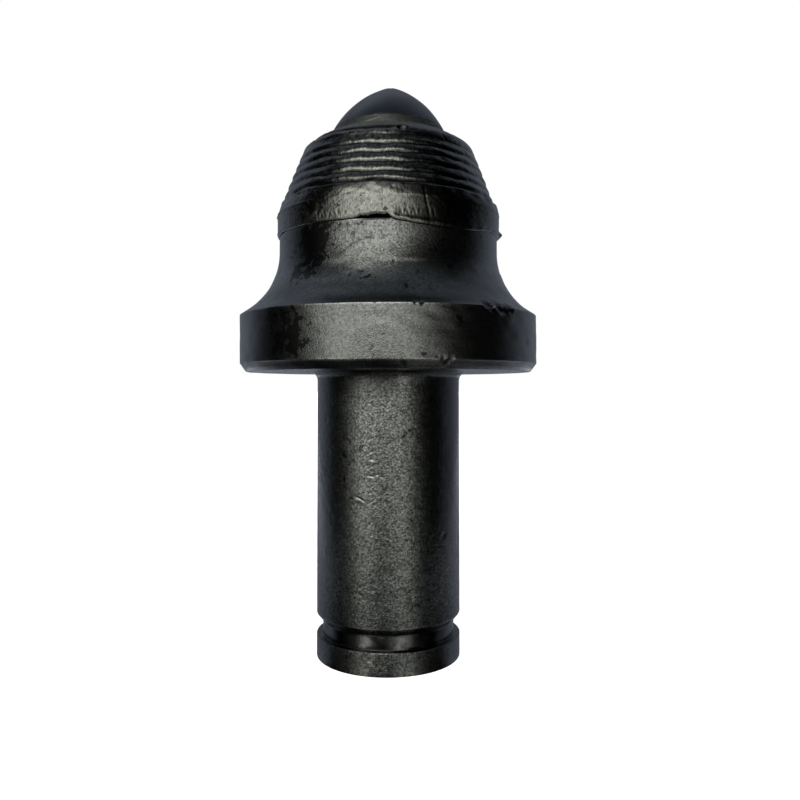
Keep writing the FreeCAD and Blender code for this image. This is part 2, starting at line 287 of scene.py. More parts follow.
def azimuth_degrees(azimuth):
    """Azimuth from -180 to 180 degrees."""
    return (np.degrees(azimuth) + 180) % 360 - 180


def wrapped(path, columns):
    """Radius and height of every point of the grid, before any relief."""
    radius, height = path.T[:, :, None]
    return np.repeat(radius, columns, axis=1), np.repeat(height, columns, axis=1)


def columns_of(count, gather=0.0):
    """Azimuths of the columns. gather draws them closer together at the front."""
    even = np.arange(count) * 2 * math.pi / count
    return even - gather * np.sin(even)


# %% [markdown]
# ## The steel body
# One forging, turned all over: end cap, retainer groove with a sloped upper side, shank, collar with
# a chamfer below, the flare, the neck and the seat that the weld hides. The flare is a true arc,
# so its points are worked out from its radius.


# %% Profile of the steel body
def flare_corners(count):
    """Points on the concave arc from the collar's top edge to the neck."""
    centre_radius = neck_radius + flare_radius
    low = math.asin((flare_top - collar_top) / flare_radius)
    for k in range(1, count + 1):
        angle = low * (1 - k / count)
        across = centre_radius - flare_radius * math.cos(angle)
        yield (across, flare_top - flare_radius * math.sin(angle), 0, 9)


steel_corners = [
    (1.0, 0.0, 0, 9),
    (shank_radius, 0.0, 0.25, 6),
    (shank_radius, cap_height, 0.15, 0.6),
    (groove_floor_radius, cap_height, 0.12, 0.6),
    (groove_floor_radius, groove_floor_top, 0.7, 0.45),
    (shank_radius, groove_lead_top, 0.2, 0.5),
    (shank_radius, 13.5, 0, 1.0),
    (shank_radius, 18.5, 0, 0.3),
    (shank_radius, 26.0, 0, 0.8),
    (shank_radius, 32.5, 0, 0.4),
    (shank_radius, 49.0, 0, 0.2),
    (shank_radius, collar_underside, shank_root, 1.0),
    (collar_radius - chamfer_width, collar_underside, 0.12, 6),
    (collar_radius, collar_underside + chamfer_height, 0.18, 0.5),
    (collar_radius, collar_top, 0.22, 0.4),
    *flare_corners(36),
    (neck_radius, 85.9, 0, 0.3),
    (neck_radius, overlay_start, 0.1, 0.11),
    (seat_radius, seat_ramp_top, 0, 0.7),
    (seat_radius, belt_top, 0, 9),
    (seat_shoulder_radius, seat_shoulder_height, 0, 20),
    (socket_radius, seat_top, 0, 9),
    (socket_radius, socket_floor, 0, 20),
    (1.0, socket_floor, 0, 20),
]
steel_path = rounded_path(steel_corners)
steel_gone, steel_outward, steel_edge, steel_corner = path_facts(steel_path)
print("steel body", len(steel_path), "rows along", round(float(steel_gone[-1]), 1), "mm")

# %% [markdown]
# Handling has left its marks: a chain of small nicks down the front of the shank, a bright gouge,
# scuffs above the groove, chips along the collar's upper rim on the right, and pits in the neck.
# Each row below is one mark: azimuth, height, half width across and along, tilt and depth.

# %% Nicks, chips and pits of the steel body
shank_nicks = [
    (-12.9, 48.2, 0.5, 0.2, 35, 0.1), (-11.2, 46.9, 0.4, 0.2, -30, 0.09), (-12.6, 45.6, 0.5, 0.2, 30, 0.1),
    (-11, 44.4, 0.45, 0.2, -35, 0.1), (-12.2, 43, 0.55, 0.22, 24, 0.14),
    (-11.4, 41.6, 0.5, 0.22, -12, 0.13), (-12, 40.2, 0.5, 0.2, 25, 0.1),
    (-12.6, 38.4, 0.9, 0.22, -14, 0.16), (-7.6, 38.7, 0.7, 0.2, 12, 0.1), (-4, 38.3, 0.6, 0.2, -15, 0.09),
    (-20.4, 33.9, 1.1, 0.26, -26, 0.22), (-11.5, 36.4, 0.5, 0.2, 30, 0.09),
    (-12.5, 35.2, 0.4, 0.25, -40, 0.08), (-11, 33.6, 0.6, 0.2, 35, 0.09),
    (-9.4, 32.9, 0.35, 0.3, -30, 0.08), (-12.9, 29, 0.5, 0.3, 35, 0.09), (-9.2, 27.2, 0.35, 0.4, 0, 0.07),
    (-16.5, 23.4, 0.4, 0.4, 20, 0.07), (-8.5, 17.9, 0.3, 0.7, 4, 0.06), (-5.2, 17.4, 0.3, 0.6, -6, 0.05),
    (-19.3, 17, 0.7, 0.25, 35, 0.08), (-21.6, 15.6, 0.8, 0.22, -30, 0.08), (-18, 14.6, 0.7, 0.25, 28, 0.07),
    (-9, 16.6, 1.4, 0.2, 0, 0.06), (-8, 14.4, 1.6, 0.2, 2, 0.06), (12.9, 18, 0.3, 0.8, 28, 0.06),
    (15.4, 16.4, 0.25, 0.8, 20, 0.06), (18.4, 14.9, 0.25, 0.7, 5, 0.06), (32.4, 24.6, 0.25, 0.4, 0, 0.12),
    (5.5, 29.5, 0.25, 0.9, 6, 0.04),
]
cap_nicks = [
    (-14, 3.4, 0.9, 0.3, 30, 0.12), (-9, 2.6, 0.7, 0.3, -25, 0.12), (-16.5, 1.7, 0.8, 0.25, 15, 0.1),
    (-5, 1.5, 0.6, 0.35, 40, 0.1), (-18, 0.5, 0.5, 0.3, 0, 0.14), (17, 0.4, 0.45, 0.3, 0, 0.14),
]
collar_marks = [
    (-4.2, 62.7, 0.35, 0.2, 40, 0.12), (-4.9, 62.1, 0.3, 0.5, -20, 0.1), (5.6, 59.9, 0.3, 0.8, 35, 0.16),
    (18.9, 60.7, 0.4, 0.4, 0, 0.2), (20.6, 60.3, 0.4, 0.7, -40, 0.25), (17, 61, 0.35, 0.25, 0, 0.16),
    (22, 60.7, 0.3, 0.5, 30, 0.2), (24, 69.6, 1.2, 0.2, -25, 0.08), (19.5, 70, 1, 0.2, 20, 0.08),
]
rim_chips = [
    (36, 70.6, 0.35, 0.9, 35, 0.75), (38, 70.4, 0.4, 1.1, 38, 0.95), (40.6, 70.5, 0.35, 0.8, 35, 0.7),
    (43, 70.2, 0.5, 1.2, 40, 1), (45.4, 70.1, 0.5, 1, 30, 0.9), (48, 70.4, 0.6, 0.8, 10, 0.7),
    (9.6, 70.6, 0.35, 0.3, 0, 0.15), (12, 70.55, 0.5, 0.3, 20, 0.2), (-3.5, 70.6, 0.3, 0.25, 0, 0.1),
    (-150, 70.5, 1.4, 0.8, 20, 0.4), (128, 70.5, 0.7, 0.7, -20, 0.4), (-95, 60.4, 0.9, 0.8, 15, 0.35),
]
neck_pits = [
    (-20.4, 81, 0.9, 0.2, 30, 0.2), (-17, 82, 0.9, 0.2, 34, 0.2), (-13.6, 82.8, 0.8, 0.2, 22, 0.2),
    (-10.4, 83.3, 0.8, 0.2, 12, 0.2), (-7.4, 83.6, 0.7, 0.2, 10, 0.2), (-15.5, 84.2, 0.3, 0.3, 0, 0.16),
    (-11.1, 77.1, 0.45, 0.3, -10, 0.22), (-15.9, 76.3, 0.35, 0.35, 0, 0.16),
    (-22.5, 80.6, 0.5, 0.4, 0, 0.1), (3.5, 79, 0.3, 0.25, 0, 0.08), (14, 76.8, 0.35, 0.3, 0, 0.1),
    (23, 81.5, 0.4, 0.3, 0, 0.08),
]


def scattered(seed, count, radius_degrees, low, high, size, depth):
    """More marks of the same kind round the sides and back, where the front's own ones don't reach."""
    draw = np.random.default_rng(seed)
    for _ in range(count):
        yield (draw.uniform(*radius_degrees), draw.uniform(low, high), size * draw.uniform(0.6, 1.5),
               size * draw.uniform(0.3, 0.7), draw.uniform(-60, 60), depth * draw.uniform(0.5, 1.2))


steel_marks = [*cap_nicks, *collar_marks, *rim_chips, *neck_pits,
               *scattered(3, 46, (48, 318), 11, 56, 0.6, 0.11),
               *scattered(4, 20, (40, 320), 61, 70, 0.9, 0.12),
               *scattered(5, 14, (35, 320), 74, 86, 0.6, 0.12)]

# dried oil: azimuth, height, half width across and along
oil_patches = [
    (-36.5, 66, 4.4, 3.4), (-33, 62.6, 4.6, 1.8), (-39, 69, 3, 1.2), (-41, 80.5, 2.8, 4.2),
    (-39, 84.5, 3.4, 1.6), (-33.5, 81.2, 3, 3.4), (-42, 77, 3.6, 2), (-31, 86, 3.8, 1.5), (150, 66, 9, 4),
    (-130, 79, 7, 4), (95, 40, 5, 9), (-110, 25, 5, 7),
]
# the groove's floor: azimuth and half width in degrees, then above 0 for oil and below 0 for bare metal
groove_patches = [
    (-44, 8, 0.7), (-20, 7, -0.75), (-9.5, 5, 0.9), (0, 4, 0.3), (9.5, 7, -0.6), (20, 5, -0.1),
    (35, 10, 0.95), (64, 9, 0.5), (92, 10, -0.5), (120, 9, 0.7), (150, 12, -0.5), (178, 8, 0.8),
    (-150, 10, -0.4), (-125, 9, 0.8), (-95, 10, -0.5), (-72, 8, 0.6),
]
print("marks on the steel body", len(shank_nicks) + len(steel_marks))


# %% Build the steel body
def build_steel_body():
    columns = 328
    azimuth = columns_of(columns, 0.55)[None, :]
    radius, height = wrapped(steel_path, columns)
    outside = ((steel_path[:, 1] > 0.1) & (steel_gone < steel_gone[-1] - 55))[:, None]
    in_groove = between(height, cap_height, cap_height + 0.4, 7.2, 7.6)
    on_head = ramp(height, collar_underside, collar_underside + 1)
    on_shank = 1 - on_head
    # forging leaves the collar and neck slightly wavy, and turning keeps the shank true
    push = on_head * (0.05 * relief(azimuth, height, 11, 9, 9) + 0.013 * relief(azimuth, height, 12, 40, 2.2))
    push += on_shank * 0.007 * relief(azimuth, height, 13, 30, 3.0) * (1 - in_groove)
    push += in_groove * 0.05 * relief(azimuth, height, 15, 20, 5)
    # a shallow turned band right below the weld ends in a fine step
    push -= 0.07 * ramp(height, 84.0, 84.25) * (1 - 0.4 * relief(azimuth, height, 14, 6, 30))
    degrees = azimuth_degrees(azimuth)
    wear_and_highlight = 0.7 * steel_edge[:, None] * (0.15 + 0.85 * ramp(height, 5.2, 8.4))
    # the inner corners of the profile get painted shade
    shade_and_oil = np.repeat(0.5 * steel_corner[:, None], columns, axis=1)
    oily = sum(spot(azimuth, height, radius, *patch) for patch in oil_patches)
    ragged = 2.5 * relief(azimuth, height, 18, 14, 2.5)
    for at, wide, share in groove_patches:
        patch = in_groove * np.exp(-(((degrees - at - ragged + 180) % 360 - 180) / wide) ** 2)
        shade_and_oil += max(share, 0) * patch
        wear_and_highlight += max(-share, 0) * patch
    # the chamfer under the collar is painted black, most of all left of the middle
    chamfer = between(height, 58.9, 59.0, 60.4, 60.6) * ramp(radius, 29, 29.8)
    shade_and_oil += chamfer * (0.3 * ramp(degrees, -62, -30) + 0.7 * between(degrees, -62, -40, -12, 26))
    shade_and_oil += 0.8 * chamfer * between(degrees, -90, -76, -60, -48)
    # painted shade darkens the shank's right side and the flare's right side, and a painted shadow darkens the
    # shank's top, under the collar
    painted_shade_side = between(degrees, 44, 60, 84, 96) * ramp(height, 14, 28)
    painted_shadow_top = 0.55 * ramp(height, 51, 57) * between(degrees, -60, -40, 0, 16)
    painted_shade_flare = between(degrees, 12, 30, 60, 75) * (1 - ramp(height, 76, 81))
    shade_and_oil += on_shank * (0.8 * painted_shade_side + painted_shadow_top) + 0.45 * painted_shade_flare * ramp(height, collar_top, 71.5)
    for at, up, across, along, tilt, depth in shank_nicks:
        # a nick's floor is bright where metal was laid bare, with a painted black shadow just under it
        dent = spot(azimuth, height, radius, at, up, across, along, tilt)
        shadow_below = spot(azimuth, height, radius, at, up - 1.7 * along, across, along * 0.8, tilt)
        push += 0.4 * depth * shadow_below - depth * dent
        wear_and_highlight += min(1.1, 7 * depth) * dent
        shade_and_oil += min(1, 5 * depth) * shadow_below
    # each mark's dent gets painted shade, and the lip round it is worn bright
    for at, up, across, along, tilt, depth in steel_marks:
        dent = spot(azimuth, height, radius, at, up, across, along, tilt)
        lip = spot(azimuth, height, radius, at, up, across * 1.7, along * 1.9, tilt) - dent
        push += 0.35 * depth * lip - depth * dent
        wear_and_highlight += 1.2 * lip * (1 - 0.7 * on_head)
        shade_and_oil += min(1, depth * 6) * dent
    # the front of the neck is undercut where the weld's lower edge stands off it, and the recess is painted
    # black as shade
    cut = between(degrees, -15, -9, 1.2, 2.6) * ramp(height, 86.62, 86.78)
    push -= 0.5 * cut
    shade_and_oil += cut
    # dried oil ends in a ragged upright line left of the middle of the collar
    limit = -31.5 + 0.5 * relief(0 * azimuth, height, 16, 1, 3)
    oil_band = between(height, 60.6, 60.9, collar_top - 0.4, collar_top)
    shade_and_oil += 0.5 * oil_band * between(degrees, -60, -52, limit - 0.5, limit + 0.5)
    # nothing may stand outside the turned size
    on_collar = radius > collar_radius - 0.5
    push = np.where(on_collar, push - 0.06, push)
    push = np.minimum(push, np.where(on_collar, -0.005, 0.1)) * outside
    radius = radius + push * steel_outward[:, :1]
    height = np.maximum(height + push * steel_outward[:, 1:], 0)
    return turned_piece("pick_body", radius, height, azimuth, wear_and_highlight, shade_and_oil, oily)


pick_body = build_steel_body()

# %% [markdown]
# ## The welded overlay
# Hard metal is laid round the head in one bead after another, falling to the right like a left-hand thread.
# Each bead leans over the one below it, so its lower flank is short and steep and its upper one long and flat,
# with a thin line where they meet that is painted dark as shade. The heights at which the front shows those
# lines steer the relief. Under the belt the bead ends: left of the middle its lower edge stands clear of the
# neck, and right of it a tail droops.

# %% Profile and valleys of the overlay
overlay_corners = [
    (neck_radius, overlay_start, 0, 9),
    (neck_radius + 0.22, overlay_start + 0.06, 0, 0.2),
    (belt_radius - 0.08, overlay_start + 0.27, 0, 0.2),
    (belt_radius, belt_bottom + 0.1, 0, 0.2),
    (belt_radius, belt_top, 0.5, 0.2),
    (shoulder_radius, shoulder_height, 1.5, 0.17),
    (rim_radius, rim_height, 0.3, 0.22),
    (socket_radius, braze_floor, 0, 0.4),
    (socket_radius, seat_top, 0, 9),
    (seat_shoulder_radius, seat_shoulder_height, 0, 9),
    (seat_radius, belt_top, 0, 20),
    (seat_radius, seat_ramp_top, 0, 9),
]
overlay_path = rounded_path(overlay_corners)
overlay_gone, overlay_outward, overlay_edge, _ = path_facts(overlay_path, closed=True)
valley_heights = (87.6, 89.4, 91.3, 94.5, 96.4, 98.4, 100.4, 102.4, 104.35, 106.2)
skin = overlay_gone < overlay_gone[np.argmax(overlay_path[:, 1])]
valley_gone = np.interp(valley_heights, overlay_path[skin, 1], overlay_gone[skin])
widest_valley = valley_heights[3]
crown_pitch = 2.0
valley_gone = np.append(valley_gone, valley_gone[-1] + crown_pitch * np.arange(1, 4))
print("overlay", len(overlay_path), "rows, valleys at", np.round(valley_gone, 2))

# azimuth, with the height of the lower edge or the radius of the seam that is painted black as shade
lower_edge_points = [
    (-180, 87.05), (-120, 87.2), (-90, 87.2), (-47, 87.1), (-35, 86.95), (-21, 86.85), (-16, 87),
    (-12, 87.25), (-7, 87.55), (-2, 87.7), (0.8, 87.5), (2, 87.15), (3.4, 86.75), (8, 86.45), (15, 86),
    (29, 85.6), (45, 85.95), (62, 86.9), (80, 87.1), (130, 87), (180, 87.05),
]
crown_seam_points = [
    (-180, 16.2), (-70, 17), (-50, 17.45), (-12, 17.6), (5, 17.75), (20, 17.9), (180, 16.2),
]


# %% Build the overlay
def crest_side(azimuth, gone):
    """Place between one valley, 0, and the next above it, 1."""
    turn = np.interp(gone, valley_gone, np.arange(len(valley_gone)))
    turn = turn + (gone > valley_gone[-1]) * (gone - valley_gone[-1]) / crown_pitch
    turn = turn + (gone < valley_gone[0]) * (gone - valley_gone[0]) / crown_pitch
    turn = turn + 0.045 * relief(azimuth, gone, 28, 22, 5) * ramp(gone, valley_gone[2] + 1.2, valley_gone[3])
    return (turn + azimuth / (2 * math.pi)) % 1


def bead_relief(azimuth, gone, height):
    """Height of the beads, 0 in a valley and 1 on a crest, the narrow line of the valley and the
    steep lower flank. The last bead above the belt is the fullest."""
    phase = crest_side(azimuth, gone)
    lowest = 1 - ramp(height, 93.6, 95.0)
    top = 0.36 + 0.42 * lowest
    rise = 0.5 - 0.5 * np.cos(math.pi * phase / top)
    rise = rise + lowest * (phase / top - rise)
    fall = 0.5 + 0.5 * np.cos(math.pi * (phase - top) / (1 - top))
    crest = np.where(phase < top, rise, fall)
    width = 0.085 + 0.06 * bell(height, widest_valley, 0.7)
    line = np.exp(-(np.minimum(phase, 1 - phase) / width) ** 2)
    steep = np.where(phase < top, 1 - np.abs(2 * rise - 1), 0)
    return crest, line, steep


def build_overlay():
    columns = 480
    azimuth = columns_of(columns, 0.4)[None, :]
    degrees = azimuth_degrees(azimuth)
    radius, height = wrapped(overlay_path, columns)
    gone = overlay_gone[:, None]
    outer = skin[:, None]
    # the lower edge rises and falls, and the belt stretches to meet it
    level = 0 * azimuth
    wave = 0.05 * relief(azimuth, level, 21, 14, 5)
    wave = wave + 0.08 * relief(azimuth, level, 27, 150, 5) * between(degrees, -18, -12, 0, 3)
    edge_height = np.interp(degrees, *zip(*lower_edge_points)) + wave
    stretch = (belt_top - edge_height) / (belt_top - overlay_start)
    on_belt = height < belt_top
    height = np.where(on_belt & outer, belt_top - (belt_top - height) * stretch, height)
    # bead height: low on the belt, full on the cone, softer on the crown
    crest, line, steep = bead_relief(azimuth, gone, height)
    cut = ramp(height, 92.4, 94.0)
    swell = 0.02 + 0.33 * ramp(height, 91.0, 92.0) - 0.18 * ramp(height, 94.0, 95.0)
    swell = swell - 0.14 * ramp(height, 103.0, 104.4)
    swell = swell * (1 + 0.2 * relief(azimuth, height, 22, 7, 14) + 0.16 * relief(azimuth, height, 29, 34, 3))
    swell = np.maximum(swell, 0) * ramp(gone, 0.3, 1.2)
    depth = (0.03 + 0.35 * swell) * cut * (1 - 0.6 * ramp(height, 103.9, 105.0))
    depth = depth * (1 + 0.3 * relief(azimuth, height, 30, 30, 3))
    depth = depth * (1 + 0.6 * bell(height, widest_valley, 0.7))
    push = swell * (crest - 0.6 * ramp(height, 92.5, 95.0)) - depth * line * ramp(gone, 0.3, 1.2)
    push += 0.008 * relief(azimuth, height, 24, 120, 0.9, 30) * ramp(gone, 0.5, 1.5)
    push += 0.030 * relief(azimuth, height, 25, 12, 7) * ramp(gone, 0.5, 1.5)
    # a proud lip along the lower edge, fuller on the drooping tail
    tail = between(degrees, 2, 6, 50, 66)
    lip = bell(gone, 0.7, 0.4) * (1 + 0.5 * relief(azimuth, height, 26, 60, 3))
    push += (0.04 + 0.08 * tail) * lip
    # the step where the tail begins
    push += 0.10 * bell(degrees, 3.5, 1.6) * bell(gone, 1.0, 1.0)
    # the steep lower flanks of the beads, which face the softbox, get a painted highlight, strongest at the
    # front
    front_highlight = 0.6 + 0.4 * between(degrees, -26, -14, -1, 7)
    wear_and_highlight = front_highlight * steep * ramp(swell, 0.05, 0.15) + 0.3 * overlay_edge[:, None]
    wear_and_highlight = wear_and_highlight + 0.5 * (1 - ramp(height, 92.6, 94.0))
    # the valley lines between the beads and the toe of the lower edge are painted dark as shade
    shade_and_oil = 1.3 * line * cut * ramp(swell, 0.02, 0.14) + 0.05 * line + 0.3 * (1 - ramp(gone, 0.1, 0.5))
    # painted shade darkens the right half of the belt; the left of the crown is darkened further down
    shade_and_oil = shade_and_oil + 0.6 * between(degrees, 0, 20, 60, 80) * (1 - ramp(height, 92.5, 95))
    # beside the front the ridges are painted dark as shade, and their painted highlight is cut back
    side_shade = between(degrees, 4, 13, 45, 60)
    side_shade = side_shade + 0.7 * between(degrees, -62, -50, -30, -22)
    side_shade = side_shade * ramp(height, 93.8, 95.0)
    wear_and_highlight = wear_and_highlight * (1 - 0.7 * side_shade)
    shade_and_oil = shade_and_oil + 0.45 * side_shade
    # a fine groove runs round the braze, painted dark inside as shade except at the left
    round_braze = bell(radius, rim_radius + 0.4, 0.3) * ramp(height, rim_height - 1, rim_height - 0.4)
    at_left = between(degrees, -120, -95, 0, 12)
    shade_and_oil = shade_and_oil + round_braze * 0.35 * (1 - at_left)
    # the last bead ends in a groove round the left of the crown, painted black as shade, with bare metal above
    # it
    seam_radius = np.interp(degrees, *zip(*crown_seam_points))
    seam_radius = seam_radius + 0.12 * relief(azimuth, level, 33, 30, 5)
    seam = bell(radius, seam_radius, 0.5) * ramp(height, 105.0, 105.5)
    shade_and_oil = shade_and_oil + 1.5 * seam * (0.25 + 0.75 * at_left)
    bare = (1 - ramp(radius, seam_radius - 1.3, seam_radius - 0.7)) * ramp(height, 106.0, 106.4) * (gone > 1)
    wear_and_highlight = wear_and_highlight + bare * (0.55 + 0.45 * between(degrees, -60, -40, -26, -8))
    push -= (0.08 + 0.40 * at_left) * seam
    push -= 0.14 * round_braze
    oily = sum(spot(azimuth, height, radius, *patch) for patch in overlay_oil)
    for at, up, across, along, tilt, depth in overlay_marks:
        dent = spot(azimuth, height, radius, at, up, across, along, tilt)
        if depth > 1:
            dent = ramp(dent, 0.3, 0.6)
        push -= depth * dent
        # dents get painted shade, and proud drops have some of it taken away
        shade_and_oil += min(1, abs(depth) * 4) * dent * (1 if depth > 0 else -1)
        wear_and_highlight += 0.35 * (spot(azimuth, height, radius, at, up, across * 1.8, along * 1.5, tilt) - dent)
        wear_and_highlight += dent * (depth < -0.5)
    push = push * outer
    radius = radius + push * overlay_outward[:, :1]
    height = height + push * overlay_outward[:, 1:]
    height = np.where(outer, np.minimum(height, rim_height), height)
    return turned_piece("weld_overlay", radius, height, azimuth, wear_and_highlight, shade_and_oil, oily, closed=True)


# dried oil, then single marks, in the same columns as on the steel body
overlay_oil = [
    (-38, 92, 3, 3.5), (-34, 91.5, 3, 1.8), (-30, 96, 2.5, 5), (38, 91, 6, 4), (33, 98, 5, 5),
    (150, 95, 9, 6), (-120, 98, 8, 5),
]
overlay_marks = [
    # the blowhole below the crown, with a speck of bright metal in it
    (9.8, 105.95, 1.15, 0.68, 0, 1.4), (11.6, 105.9, 0.17, 0.17, 0, -0.55),
    # long scratches down the belt
    (17.4, 92.6, 0.16, 0.9, 6, 0.07), (18.2, 90.6, 0.14, 1.6, 8, 0.10), (19.6, 88.4, 0.14, 1.3, 8, 0.10),
    (-1.6, 90.4, 0.14, 1.6, 0, 0.10), (2.7, 92.7, 0.3, 0.3, 0, 0.06), (-10.4, 91.7, 0.3, 0.22, 25, 0.10),
    (-12.9, 88.9, 0.42, 0.38, 0, -0.10), (-34.0, 89.0, 0.5, 0.35, 20, 0.08),
    # a drop of spatter on the right
    (89.0, 88.3, 0.75, 0.65, 0, -0.85), (-124.0, 90.2, 0.6, 0.5, 0, -0.4),
]
# short strokes along the foot of the belt: azimuth and tilt
belt_strokes = [(-34, 16), (-31.9, -24), (-30.3, 20), (-27.4, -16), (-25.1, 32), (-22.9, 14), (-19.2, -30),
                (6.5, 15), (8.6, -16), (9.6, 18), (11.7, -24), (13, 16), (15.2, -18), (22, 15)]
for at, tilt in belt_strokes:
    overlay_marks.append((at, 88.35 + 0.25 * math.sin(at), 0.16, 0.55, tilt, 0.09))
overlay_marks += list(scattered(6, 26, (35, 320), 89, 105, 0.5, 0.10))
weld_overlay = build_overlay()

# %% [markdown]
# ## The carbide button
# Pressed and sintered carbide keeps its mould's shape: a plain stem, a short land with a matt skin,
# then an ogive, which is an arc of large radius that runs into a small round nose. It sits
# a touch off true in its socket, so its tip leans to the right.


# %% Build the button
def ogive_corners(count):
    """Points on the flank arc and the nose arc, from the top of the land to near the tip."""
    flank, nose = 21.0, 2.6
    nose_centre = np.array([0.0, apex - nose])
    foot = np.array([land_radius, land_top])
    span = foot - nose_centre
    reach = np.linalg.norm(span)
    along = (reach ** 2 + (flank - nose) ** 2 - flank ** 2) / (2 * reach)
    side = math.sqrt((flank - nose) ** 2 - along ** 2)
    unit = span / reach
    flank_centre = nose_centre + unit * along + np.array([unit[1], -unit[0]]) * side
    start = math.atan2(*(foot - flank_centre)[::-1])
    end = math.atan2(*(nose_centre - flank_centre)[::-1])
    for k in range(1, count + 1):
        angle = start + (end - start) * k / count
        yield (*(flank_centre + flank * np.array([math.cos(angle), math.sin(angle)])), 0, 9)
    for k in range(1, 9):
        angle = end + (math.pi / 2 - end) * k / 9
        yield (*(nose_centre + nose * np.array([math.cos(angle), math.sin(angle)])), 0, 9)


button_corners = [
    (1.0, socket_floor, 0, 9),
    (button_radius - 1, socket_floor, 0, 20),
    (button_radius, socket_floor + 1, 0, 9),
    (button_radius, land_start, 0.1, 20),
    (land_radius, land_top, 0.35, 0.25),
    *ogive_corners(48),
]
button_path = rounded_path(button_corners)
_, button_outward, _, button_corner = path_facts(button_path)


def build_button():
    columns = 320
    azimuth = columns_of(columns)[None, :]
    radius, height = wrapped(button_path, columns)
    shown = ramp(height, land_start, land_start + 0.5)
    on_land = shown * (1 - ramp(height, land_top - 0.2, land_top + 0.1))
    push = shown * (0.02 * relief(azimuth, height, 31, 8, 6) - 0.02)
    push += on_land * 0.018 * relief(azimuth, height, 32, 60, 0.9)
    lean = 0.45 * ramp(height, land_start, apex)
    wear_and_highlight = shown * 0.3 * ramp(height, 116, apex) + on_land * 0.5
    shade_and_oil = 0.5 * button_corner[:, None]
    radius = radius + push * button_outward[:, :1]
    height = np.minimum(height + push * button_outward[:, 1:], apex - 0.003)
    return turned_piece("nose_button", radius, height, azimuth, wear_and_highlight, shade_and_oil, lean=lean)


nose_button = build_button()

# %% [markdown]
# ## The braze ring
# Filler metal climbs a little way up the button and leaves a lip, painted brightest along its outer edge as a
# highlight, with a fine groove between it and the weld. It ran unevenly, so its width and height wander round
# the ring.


# %% Build the braze ring
def build_braze():
    columns = 512
    azimuth = columns_of(columns)[None, :]
    braze_corners = [
        (button_radius + 0.02, braze_floor, 0, 9),
        (socket_radius, braze_floor, 0, 9),
        (rim_radius - 0.12, rim_height - 0.22, 0, 0.2),
        (rim_radius - 0.32, rim_height - 0.3, 0, 0.2),
        (button_radius + 0.28, rim_height + 0.02, 0, 0.1),
        (button_radius - 0.02, braze_high.z / MM, 0, 0.1),
        (button_radius - 0.1, land_start, 0, 9),
    ]
    path = rounded_path(braze_corners)
    outward = path_facts(path, closed=True)[1]
    radius, height = wrapped(path, columns)
    top = ramp(height, braze_floor + 0.25, rim_height)
    push = top * (0.05 * relief(azimuth, height, 41, 22, 9) - 0.06)
    radius = radius + push * outward[:, :1]
    height = height + push * outward[:, 1:]
    # the top is painted brighter, most of all along the outer edge, as a highlight
    wear_and_highlight = top * 0.8 * (0.4 + 0.6 * ramp(radius, rim_radius - 0.5, rim_radius - 0.25))
    return turned_piece("braze_lip", radius, height, azimuth, wear_and_highlight, 0.0, closed=True)


braze_lip = build_braze()

# %% [markdown]
# ## Shader helpers
# Materials are networks of nodes. Here a wire stands for the output of a node, and wires can be
# added, taken away, multiplied and divided like numbers: each such step adds the node that works
# it out. A wire knows its tree, so the helpers below need only the wires.


# %% Wires and nodes
class Wire:
    """The output of a node, for use in sums and as the input of other nodes."""

    def __init__(self, socket):
        self.socket = socket

    def __add__(self, other):
        return maths("ADD", self, other)

    def __sub__(self, other):
        return maths("SUBTRACT", self, other)

    def __rsub__(self, other):
        return maths("SUBTRACT", other, self)

    def __mul__(self, other):
        return maths("MULTIPLY", self, other)

    def __truediv__(self, other):
        return maths("DIVIDE", self, other)

    def __rtruediv__(self, other):
        return maths("DIVIDE", other, self)


def tree_of(*values):
    """The node tree of the first wire among the values."""
    return next(value.socket.id_data for value in values if isinstance(value, Wire))


def plug(node, inputs):
    """Set a node's inputs, each to a plain value or to a wire."""
    for name, value in inputs.items():
        if isinstance(value, Wire):
            node.id_data.links.new(value.socket, node.inputs[name])
        else:
            node.inputs[name].default_value = value


def add(tree, kind, inputs=None, output=0, **settings):
    """A new shader node, given back as the wire of one of its outputs."""
    node = tree.nodes.new("ShaderNode" + kind)
    for name, value in settings.items():
        setattr(node, name, value)
    plug(node, inputs or {})
    return Wire(node.outputs[output])


def maths(operation, first, second=0.0, clamp=False):
    return add(tree_of(first, second), "Math", {0: first, 1: second}, operation=operation, use_clamp=clamp)


def vector(operation, inputs, output=0):
    return add(tree_of(*inputs.values()), "VectorMath", inputs, output, operation=operation)


def split(wire):
    """The three parts of a vector or a colour."""
    parts = add(tree_of(wire), "SeparateXYZ", {0: wire})
    return [Wire(socket) for socket in parts.socket.node.outputs]


def blend_numbers(factor, first, second):
    return add(tree_of(factor, first, second), "Mix", {0: factor, 2: first, 3: second}, data_type="FLOAT")


def blend_colours(factor, first, second):
    return add(tree_of(factor, first, second), "Mix", {0: factor, 6: first, 7: second}, 2, data_type="RGBA")


def remap(value, low, high, to_low=0.0, to_high=1.0):
    """The value moved from one range to another, smoothly and without leaving it."""
    span = {"Value": value, "From Min": low, "From Max": high, "To Min": to_low, "To Max": to_high}
    return add(tree_of(value), "MapRange", span, interpolation_type="SMOOTHSTEP")


def noise(where, scale, detail, roughness=0.5, output=0):
    inputs = {"Vector": where, "Scale": scale, "Detail": detail, "Roughness": roughness}
    return add(tree_of(where), "TexNoise", inputs, output)


def bump(height, strength, distance, normal=None):
    inputs = {"Height": height, "Strength": strength, "Distance": distance * MM}
    if normal is not None:
        inputs["Normal"] = normal
    return add(tree_of(height), "Bump", inputs)


